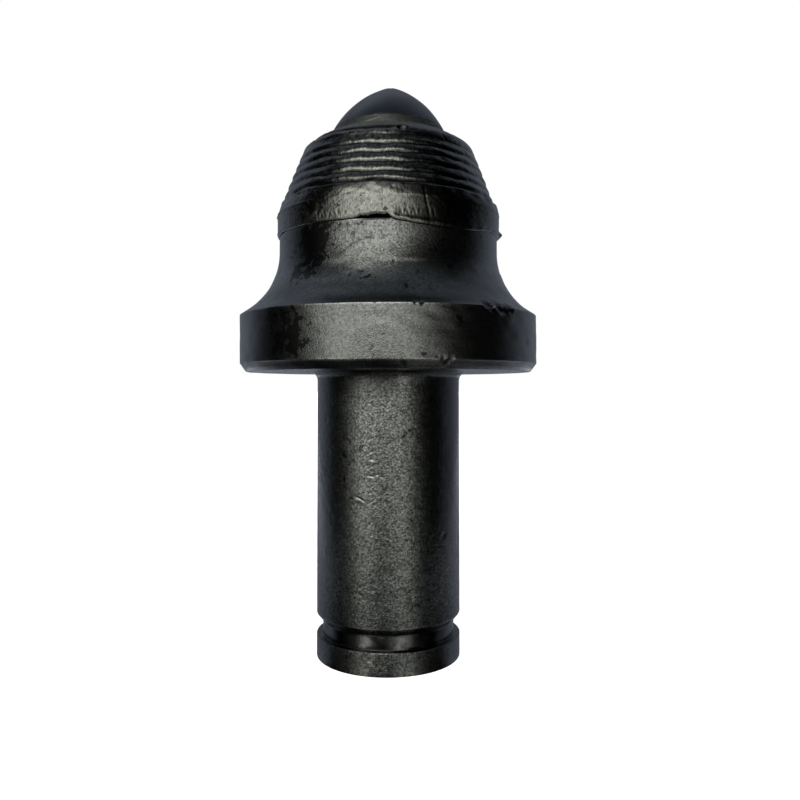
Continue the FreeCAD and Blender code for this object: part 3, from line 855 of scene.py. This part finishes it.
# %% Node groups
def open_group(name, inputs, outputs, kind="Float"):
    """A node group, its inputs as wires and its end. An input has a default, or None for a vector."""
    group = bpy.data.node_groups.new(name, "ShaderNodeTree")
    for label, default in inputs.items():
        socket_type = "NodeSocketVector" if default is None else "NodeSocketFloat"
        socket = group.interface.new_socket(name=label, in_out="INPUT", socket_type=socket_type)
        if default is not None:
            socket.default_value = default
    for label in outputs:
        group.interface.new_socket(name=label, in_out="OUTPUT", socket_type="NodeSocket" + kind)
    given = {socket.name: Wire(socket) for socket in group.nodes.new("NodeGroupInput").outputs}
    return group, given, group.nodes.new("NodeGroupOutput")


def place(group, **inputs):
    """The group placed in a tree with its own values. Gives its outputs by name."""
    node = tree_of(*inputs.values()).nodes.new("ShaderNodeGroup")
    node.node_tree = group
    plug(node, inputs)
    return {socket.name: Wire(socket) for socket in node.outputs}


# %% [markdown]
# ## Finishes as node groups
# Five effects serve the metals: a pebbled grain with its black pits and its painted glints, fine marks that
# run round the axis, blotches of oil with worm-like borders, wear that brightens edges and painted highlights,
# and long scratches. Each is a group with its own scale, so one recipe gives a fine collar and a coarse shank.
# The first one draws a number for each cell of a Voronoi pattern: low ones are pits full of oil, and high ones
# are painted lighter, as glints.

# %% Pebbled grain
pebbled_grain, given, end = open_group(
    "Pebbled grain", {"Place": None, "Scale": 2.0, "Coarse": 0.4, "Stretch": 1.0},
    ["Height", "Mottle", "Speckle", "Pits", "Sparks"])
flatter = add(pebbled_grain, "CombineXYZ", {0: 1.0, 1: 1.0, 2: given["Stretch"]})
here = vector("MULTIPLY", {0: given["Place"], 1: flatter})
cells = add(pebbled_grain, "TexVoronoi", {"Vector": here, "Scale": given["Scale"], "Randomness": 1.0})
draw = split(Wire(cells.socket.node.outputs["Color"]))
fine = noise(here, given["Scale"] * 1.7, 2.0, 0.6)
middle = remap(cells, 0.12, 0.5, 1.0, 0.0)
plug(end, {
    "Height": blend_numbers(given["Coarse"], fine, cells),
    "Mottle": remap(fine, 0.36, 0.64),
    "Speckle": draw[1],
    "Pits": middle * maths("LESS_THAN", draw[0], 0.25),
    "Sparks": middle * maths("GREATER_THAN", draw[0], 0.9),
})

# %% Turning marks
turning_marks, given, end = open_group("Turning marks", {"Place": None, "Marks": 3.0}, ["Height"])
across, deep, up = split(given["Place"])
stretched = add(turning_marks, "CombineXYZ", {0: across * 0.06, 1: deep * 0.06, 2: up * given["Marks"]})
plug(end, {"Height": noise(stretched, 1.0, 4.0, 0.65)})

# %% Oil blotches
oil_blotches, given, end = open_group(
    "Oil blotches", {"Place": None, "Scale": 0.5, "Oily": 0.0}, ["Stain", "Border"])
bend = vector("SCALE", {0: noise(given["Place"], given["Scale"], 2.0, output="Color"), "Scale": 2.6})
moved = vector("ADD", {0: given["Place"], 1: bend})
above = noise(moved, given["Scale"], 3.0, 0.55) + given["Oily"] * 0.26 - 0.68
plug(end, {
    "Stain": remap(above, -0.03, 0.02),
    "Border": remap(maths("ABSOLUTE", above + 0.08), 0.0, 0.012, 1.0, 0.0),
})

# %% Edge wear
edge_wear, given, end = open_group(
    "Edge wear", {"Place": None, "Worn": 0.0, "Breakup": 1.2, "Amount": 0.7}, ["Mask"])
patchy = noise(given["Place"], given["Breakup"], 4.0, 0.7)
mask = remap(given["Worn"] + (patchy - 0.62), 0.1, 0.75)
plug(end, {"Mask": maths("MULTIPLY", mask, given["Amount"], clamp=True)})

# %% Fine scratches
fine_scratches, given, end = open_group(
    "Fine scratches", {"Place": None, "Scale": 1.0, "Share": 0.5}, ["Line"])
shape = vector("MULTIPLY", {0: given["Place"], 1: (2.6, 2.6, 0.35)})
line = remap(maths("ABSOLUTE", noise(shape, given["Scale"], 2.0) - 0.5), 0.0, 0.03, 1.0, 0.0)
chosen = remap(noise(given["Place"], 0.5, 1.0), 0.4, 0.55)
plug(end, {"Line": line * (chosen * given["Share"])})
print("groups", [group.name for group in bpy.data.node_groups])

# %% [markdown]
# ## Materials
# Blackened, oiled steel is a dark metal: almost all that is seen of it is the room mirrored dimly in its skin.
# So the base colour stays near black, and the look comes from roughness, grain and the lights, with painted
# shade and painted highlights from the masks. Places are read from the object's own coordinates, in
# millimetres.

# %% Common start of a material
# the black used both for painted shade and for oil
SHADE_AND_OIL_BLACK = (0.0035, 0.0035, 0.0035, 1)


def open_material(name):
    """A material, its shader node, the place in millimetres and the three masks."""
    material = bpy.data.materials.new(name)
    material.use_nodes = True
    tree = material.node_tree
    tree.nodes.clear()
    shader = add(tree, "BsdfPrincipled")
    plug(tree.nodes.new("ShaderNodeOutputMaterial"), {0: shader})
    where = add(tree, "TexCoord", output="Object")
    masks = [add(tree, "Attribute", output="Fac", attribute_name=label) for label in MASKS]
    return material, shader.socket.node, vector("SCALE", {0: where, "Scale": 1 / MM}), *masks


def oiled_and_shaded(colour, shade_and_oil, oil):
    """The colour blackened where it gets painted shade, in hollows, valleys and on sides turned from the
    light, where oil lies in the groove, and by blots of dried oil.
    """
    blots = maths("MAXIMUM", oil["Stain"] * 0.85, oil["Border"] * 0.5)
    black = maths("MAXIMUM", blots, maths("MULTIPLY", shade_and_oil, 0.9, clamp=True))
    return blend_colours(black, colour, SHADE_AND_OIL_BLACK)


# %% Oil-blackened steel
def make_steel():
    material, shader, here, wear_and_highlight, shade_and_oil, oily = open_material("Oil-blackened steel")
    height = split(here)[2]
    on_shank = remap(height, collar_underside - 0.3, collar_underside + 0.3, 1.0, 0.0)
    above_cap = remap(height, cap_height - 0.1, cap_height + 0.1)
    in_groove = above_cap * remap(height, groove_floor_top - 0.1, groove_floor_top + 0.4, 1.0, 0.0)
    out_of_groove = 1.0 - in_groove
    coarse = place(pebbled_grain, Place=here, Scale=3.0, Coarse=0.5, Stretch=1.1)
    fine = place(pebbled_grain, Place=here, Scale=3.2, Coarse=0.4, Stretch=1.0)
    marks = place(turning_marks, Place=here, Marks=3.2)
    oil = place(oil_blotches, Place=here, Scale=0.5, Oily=oily)
    wear = place(edge_wear, Place=here, Worn=wear_and_highlight, Breakup=1.6, Amount=0.8)
    scratch = place(fine_scratches, Place=here, Scale=0.8, Share=0.3)
    grain = blend_numbers(on_shank, fine["Mottle"], coarse["Mottle"])
    plain = blend_colours(grain, (0.036, 0.0375, 0.037, 1), (0.058, 0.060, 0.057, 1))
    speckled = blend_colours(coarse["Speckle"], (0.007, 0.0073, 0.0073, 1), (0.093, 0.0965, 0.093, 1))
    amount = blend_numbers(on_shank, remap(height, 71, 80, 0.3, 0.55), 0.72)
    plain = blend_colours(amount * out_of_groove, plain, speckled)
    # the foot of the neck, where the flare begins, is painted a lighter colour
    lighter_band = remap(height, 77.8, 81.4, 1.0, 0.0) * remap(height, 73.8, 76.4)
    lighter_speckle = blend_colours(coarse["Speckle"], (0.068, 0.070, 0.067, 1), (0.132, 0.135, 0.129, 1))
    plain = blend_colours(lighter_band, plain, lighter_speckle)
    # random cells are painted lighter, as glints, most of all on the shank
    painted_glint = coarse["Sparks"] * blend_numbers(on_shank, 0.2, 0.8) * out_of_groove
    plain = blend_colours(painted_glint, plain, (0.13, 0.132, 0.125, 1))
    pitted = coarse["Pits"] * blend_numbers(on_shank, 0.4, 0.7) * out_of_groove
    shade_and_oil = maths("MAXIMUM", shade_and_oil, pitted)
    polished = blend_colours(wear["Mask"], plain, (0.15, 0.15, 0.142, 1))
    scored = blend_colours(scratch["Line"], polished, (0.09, 0.09, 0.085, 1))
    rough = blend_numbers(in_groove, blend_numbers(on_shank, 0.22, 0.20), 0.13)
    rough = blend_numbers(remap(height, cap_height - 0.1, cap_height, 1.0, 0.0), rough, 0.27)
    turned = bump(marks["Height"], 0.15, 0.05)
    depth = blend_numbers(in_groove, blend_numbers(on_shank, 0.0, 0.42), 0.12)
    pebbled = bump(coarse["Height"], depth, 0.15, turned)
    grained = bump(fine["Height"], blend_numbers(on_shank, 0.5, 0.3), 0.08, pebbled)
    plug(shader, {"Base Color": oiled_and_shaded(scored, shade_and_oil, oil), "Metallic": 1.0, "Roughness": rough,
                  "Normal": grained})
    return material


# %% Welded overlay
def make_weld():
    material, shader, here, wear_and_highlight, shade_and_oil, oily = open_material("Welded overlay")
    height = split(here)[2]
    grain = place(pebbled_grain, Place=here, Scale=2.2, Coarse=0.4, Stretch=0.6)
    wear = place(edge_wear, Place=here, Worn=wear_and_highlight, Breakup=1.2, Amount=0.5)
    scratch = place(fine_scratches, Place=here, Scale=1.4, Share=0.9)
    oil = place(oil_blotches, Place=here, Scale=0.6, Oily=oily)
    plain = blend_colours(grain["Mottle"], (0.034, 0.0345, 0.0315, 1), (0.060, 0.0605, 0.055, 1))
    speckled = blend_colours(grain["Speckle"], (0.008, 0.008, 0.0078, 1), (0.080, 0.0805, 0.074, 1))
    plain = blend_colours(remap(height, 92, 95, 0.3, 0.75), plain, speckled)
    plain = blend_colours(remap(height, 105.9, 106.8, 0.0, 0.75), plain, (0.056, 0.052, 0.044, 1))
    # random cells are painted lighter, as glints
    plain = blend_colours(grain["Sparks"], plain, (0.09, 0.09, 0.085, 1))
    shade_and_oil = maths("MAXIMUM", shade_and_oil, grain["Pits"] * 0.5)
    polished = blend_colours(wear["Mask"], plain, (0.125, 0.126, 0.115, 1))
    scored = blend_colours(scratch["Line"], polished, (0.015, 0.015, 0.015, 1))
    rough = blend_numbers(shade_and_oil, remap(height, 106.1, 106.6, 0.23, 0.56), 0.2)
    plug(shader, {"Base Color": oiled_and_shaded(scored, shade_and_oil, oil), "Metallic": 1.0, "Roughness": rough,
                  "Normal": bump(grain["Height"], 0.6, 0.08)})
    return material


# %% Braze filler and carbide
def make_braze():
    material, shader, here, wear_and_highlight, shade_and_oil, oily = open_material("Braze filler")
    grain = place(pebbled_grain, Place=here, Scale=1.6, Coarse=0.2, Stretch=1.0)
    wear = place(edge_wear, Place=here, Worn=wear_and_highlight, Breakup=0.9, Amount=0.6)
    oil = place(oil_blotches, Place=here, Scale=0.6, Oily=oily)
    plain = blend_colours(grain["Mottle"], (0.045, 0.045, 0.042, 1), (0.065, 0.065, 0.06, 1))
    polished = blend_colours(wear["Mask"], plain, (0.15, 0.15, 0.14, 1))
    plug(shader, {"Base Color": oiled_and_shaded(polished, shade_and_oil, oil), "Metallic": 1.0, "Roughness": 0.3,
                  "Normal": bump(grain["Height"], 0.25, 0.08)})
    return material


def make_carbide():
    material, shader, here, wear_and_highlight, shade_and_oil, oily = open_material("Sintered carbide")
    height = split(here)[2]
    grain = place(pebbled_grain, Place=here, Scale=2.4, Coarse=0.2, Stretch=1.0)
    wear = place(edge_wear, Place=here, Worn=wear_and_highlight, Breakup=0.8, Amount=0.3)
    # the land's matt skin ends in a wandering border, and its foot is painted paler to offset the shade cast
    # by the braze and crown
    on_land = remap(height + noise(here, 0.35, 2.0), land_top + 0.15, land_top + 1.0, 1.0, 0.0)
    smooth = blend_colours(grain["Mottle"], (0.0122, 0.0134, 0.0162, 1), (0.0146, 0.0158, 0.0186, 1))
    matt = blend_colours(grain["Mottle"], (0.033, 0.033, 0.0305, 1), (0.046, 0.046, 0.0425, 1))
    foot = remap(height, land_start + 0.1, land_start + 1.2, 1.0, 0.0)
    matt = blend_colours(foot, matt, (0.066, 0.0665, 0.061, 1))
    colour = blend_colours(on_land, smooth, matt)
    polished = blend_colours(wear["Mask"], colour, (0.075, 0.075, 0.072, 1))
    plug(shader, {"Base Color": polished, "Metallic": 0.9, "Roughness": blend_numbers(on_land, 0.27, 0.42),
                  "Normal": bump(grain["Height"], 0.08, 0.06)})
    return material


# %% Dress the pieces
dressings = [
    (pick_body, "steel_body", "oil_black_steel", make_steel()),
    (weld_overlay, "hardfacing", "weld_overlay", make_weld()),
    (nose_button, "carbide_button", "carbide", make_carbide()),
    (braze_lip, "braze_ring", "braze_filler", make_braze()),
]
for piece, node, slot, material in dressings:
    piece.data.materials.append(material)
    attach(piece, "root")
    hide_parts(node)
    print(piece.name, "stands for", node, "in", material.name)

# %% [markdown]
# ## Studio
# Black metal shows the studio and little else. A wide soft light stands a little left of the camera
# and reaches from table height to well above it, with the photographer dark before its lower
# middle. Dark flags stand at both sides, a cool, dim light comes from behind, which draws the bluish
# rims, and the ceiling is cool too. All of it is one function of direction, used by the world
# and by the table as the metal sees it. Each list below is a curve of (angle, share) points, along
# the azimuth or the elevation in degrees.

# %% Shares of light by angle
softbox_left = [(-180, 0), (-92, 0.0), (-80, 0.02), (-70, 0.07), (-62, 0.11), (-56, 0.2), (-50, 0.48),
                (-45, 0.74), (-38, 0.87), (-28, 0.94), (-16, 1.0), (180, 1.0)]
softbox_right = [(-180, 1.0), (2, 1.0), (14, 0.98), (22, 0.78), (28, 0.45), (34, 0.22), (42, 0.09),
                 (52, 0.025), (66, 0.0), (180, 0)]
softbox_elevations = [(-90, 0.0), (-45, 0.03), (-30, 0.09), (-18, 0.24), (-11, 0.42), (-3, 0.76), (5, 1.0),
                      (25, 1.05), (35, 0.85), (45, 0.46), (55, 0.15), (66, 0.04), (90, 0.01)]
sitter_azimuths = [(-180, 0.0), (-40, 0.0), (-28, 0.35), (-14, 0.95), (0, 1.0), (12, 0.55), (26, 0.0),
                   (180, 0.0)]
sitter_elevations = [(-90, 1.0), (-6, 1.0), (2, 0.55), (12, 0.0), (90, 0.0)]
back_azimuths = [(-180, 0.4), (-150, 0.5), (-138, 0.68), (-126, 0.74), (-116, 0.64), (-108, 0.38),
                 (-100, 0.12), (-91, 0.0), (91, 0.0), (99, 0.12), (107, 0.40), (116, 0.66), (126, 0.74),
                 (138, 0.68), (150, 0.5), (180, 0.4)]
back_elevations = [(-90, 0.6), (-40, 0.9), (-10, 1.0), (40, 1.0), (62, 1.2), (90, 1.0)]
ceiling_elevations = [(-90, 0.0), (35, 0.0), (50, 0.35), (65, 0.8), (76, 1.0), (90, 1.0)]
softbox_light = 5.8
sitter_shade = 0.78
back_light = 0.48
ceiling_light = 0.32
fill_light = 0.01


# %% Light seen from each direction
def curve(value, points, low, high):
    """A soft curve through (place, share) points, for a value that runs from low to high."""
    tree = tree_of(value)
    made = add(tree, "FloatCurve", {
        "Value": add(tree, "MapRange", {"Value": value, "From Min": low, "From Max": high})})
    mapping = made.socket.node.mapping
    line = mapping.curves[0]
    for number, (at, share) in enumerate(points):
        x = (at - low) / (high - low)
        if number < 2:
            line.points[number].location = (x, share)
        else:
            line.points.new(x, share)
    for point in line.points:
        point.handle_type = "AUTO_CLAMPED"
    mapping.update()
    return made


def round_curve(azimuth, points):
    return curve(azimuth, points, -180, 180)


def upright_curve(elevation, points):
    return curve(elevation, points, -90, 90)


studio_light, given, end = open_group("Studio light", {"Direction": None}, ["Light"], "Color")
x, y, z = split(vector("NORMALIZE", {0: given["Direction"]}))
azimuth = maths("ARCTAN2", x, y * -1.0) * (180 / math.pi)
elevation = maths("ARCSINE", z) * (180 / math.pi)
# the softbox's right side leans outwards towards the table
lean = maths("MINIMUM", maths("MAXIMUM", elevation, -25.0), 11.0) + remap(elevation, 17.0, 40.0, 0.0, 12.0)
width = round_curve(azimuth, softbox_left) * round_curve(azimuth + lean, softbox_right)
sitter = round_curve(azimuth, sitter_azimuths) * upright_curve(elevation, sitter_elevations)
front = width * upright_curve(elevation, softbox_elevations) * (1.0 - sitter * sitter_shade)
back = round_curve(azimuth, back_azimuths) * upright_curve(elevation, back_elevations)
# the ceiling is brighter to the left
ceiling = upright_curve(elevation, ceiling_elevations) * (1.1 - x * 1.15)
total = (fill_light, fill_light, fill_light)
for tint, share, light in [((1.0, 1.005, 0.955), front, softbox_light), ((0.86, 0.96, 1.17), back, back_light),
                           ((0.84, 0.97, 1.10), ceiling, ceiling_light)]:
    total = vector("ADD", {0: total, 1: vector("SCALE", {0: tint, "Scale": share * light})})
plug(end, {"Light": total})

# %% World
world = bpy.data.worlds.new("White studio")
world.use_nodes = True
tree = world.node_tree
tree.nodes.clear()
light = place(studio_light, Direction=add(tree, "TexCoord", output="Generated"))["Light"]
seen = add(tree, "LightPath", output="Is Camera Ray")
background = add(tree, "Background", {"Color": blend_colours(seen, light, (1.0, 1.0, 1.0, 1))})
plug(tree.nodes.new("ShaderNodeOutputWorld"), {0: background})
bpy.context.scene.world = world

# %% [markdown]
# ## Table
# The pick stands on its end on a pale table that runs out to the horizon, so that table and
# backdrop meet without a line. Mirrored in the metal, a bright table would wash out the dark
# bands, so for those rays alone it shows what the studio sends from that side. How steeply a ray
# came is judged by where it meets the table: at about 18 degrees near the foot, and flatly far
# out, where it has also turned further from the axis than the place where it lands. The collar's
# chamfer looks steeply down on a curved strip of table that is dark before the pick and glows
# coolly at both sides.

# %% Table
table_reach = 30.0
table_mesh = bpy.data.meshes.new("table")
table_mesh.from_pydata([(-table_reach, -table_reach, 0), (table_reach, -table_reach, 0),
                        (table_reach, table_reach, 0), (-table_reach, table_reach, 0)], [], [(0, 1, 2, 3)])
table = bpy.data.objects.new("table", table_mesh)
bpy.context.scene.collection.objects.link(table)
pale_table = bpy.data.materials.new("Pale table")
pale_table.use_nodes = True
tree = pale_table.node_tree
tree.nodes.clear()
where = add(tree, "TexCoord", output="Object")
distance = vector("LENGTH", {0: where}, "Value")
x, y, z = split(where)
bearing = maths("ARCTAN2", x, y * -1.0)
drop = -41 * MM / (distance + 102 * MM)
past_shank = maths("MAXIMUM", distance * 2.0 - shank_radius * MM, shank_radius * MM)
turned = bearing * (distance * 2.0 / past_shank)
ray = add(tree, "CombineXYZ", {0: maths("SINE", turned), 1: maths("COSINE", turned) * -1.0, 2: drop})
light = place(studio_light, Direction=ray)["Light"]
# where the chamfer looks: a curve that widens from 48 mm before the pick towards both sides
widening = maths("POWER", maths("COSINE", bearing * 0.5), 1.35)
off_curve = maths("ABSOLUTE", distance * widening - 48 * MM)
ring = remap(off_curve, 3 * MM, 9 * MM, 1.0, 0.0)
beside = maths("MAXIMUM", remap(bearing * -1.0, 0.9, 1.6), remap(bearing, 0.6, 1.3))
glow = vector("SCALE", {0: (1.1, 1.16, 1.3), "Scale": ring * beside})
light = vector("ADD", {0: vector("SCALE", {0: light, "Scale": 1.0 - ring * 0.9}), 1: glow})
pale = add(tree, "BsdfDiffuse", {"Color": (0.92, 0.92, 0.92, 1)})
lift = add(tree, "Emission", {"Color": (1, 1, 1, 1), "Strength": 0.8})
top = add(tree, "AddShader", {0: pale, 1: lift})
mirrored = add(tree, "LightPath", output="Is Glossy Ray")
both = add(tree, "MixShader", {0: mirrored, 1: top, 2: add(tree, "Emission", {"Color": light})})
plug(tree.nodes.new("ShaderNodeOutputMaterial"), {0: both})
table_mesh.materials.append(pale_table)
table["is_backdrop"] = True

# %% [markdown]
# ## Camera
# The photo was taken close up, from a little to the right of the axis and at about the height of the
# shank's middle, looking very slightly upwards. The distance sets how much the collar's and
# the end's circles open, and the small shift places the pick in the frame.

# %% Camera
image_width = 800
focal_pixels = 772.5
principal_row = 366.109
camera_at = (2.598, -164.78, 55.18)
look_up = 0.03
lens = bpy.data.cameras.new("camera")
lens.sensor_fit = "HORIZONTAL"
lens.sensor_width = 36.0
lens.lens = focal_pixels / image_width * lens.sensor_width
lens.shift_x = -0.6 / image_width
lens.shift_y = (principal_row + 1 - image_width / 2) / image_width
lens.clip_start = 0.01
lens.clip_end = 100
camera = bpy.data.objects.new("camera", lens)
camera.location = [c * MM for c in camera_at]
camera.rotation_euler = (math.pi / 2 + look_up, 0, 0)
bpy.context.scene.collection.objects.link(camera)
bpy.context.scene.camera = camera
bpy.context.scene.view_settings.view_transform = "Standard"
bpy.context.scene.view_settings.look = "None"
print("lens", round(lens.lens, 2), "mm, shift", round(lens.shift_y, 4))

# %% [markdown]
# ## Sizes at the end
# Both boxes, of the solids and of the dressed pick, are printed. The dressed pick has to
# stay inside the box of its solids.

# %% Finish
bpy.context.view_layer.update()
dressed_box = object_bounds()
boxes = {"cad": [list(corner) for corner in cad_box], "visual": [list(corner) for corner in dressed_box]}
for name, box in boxes.items():
    print(name, "box in mm", [[round(c / MM, 3) for c in corner] for corner in box])
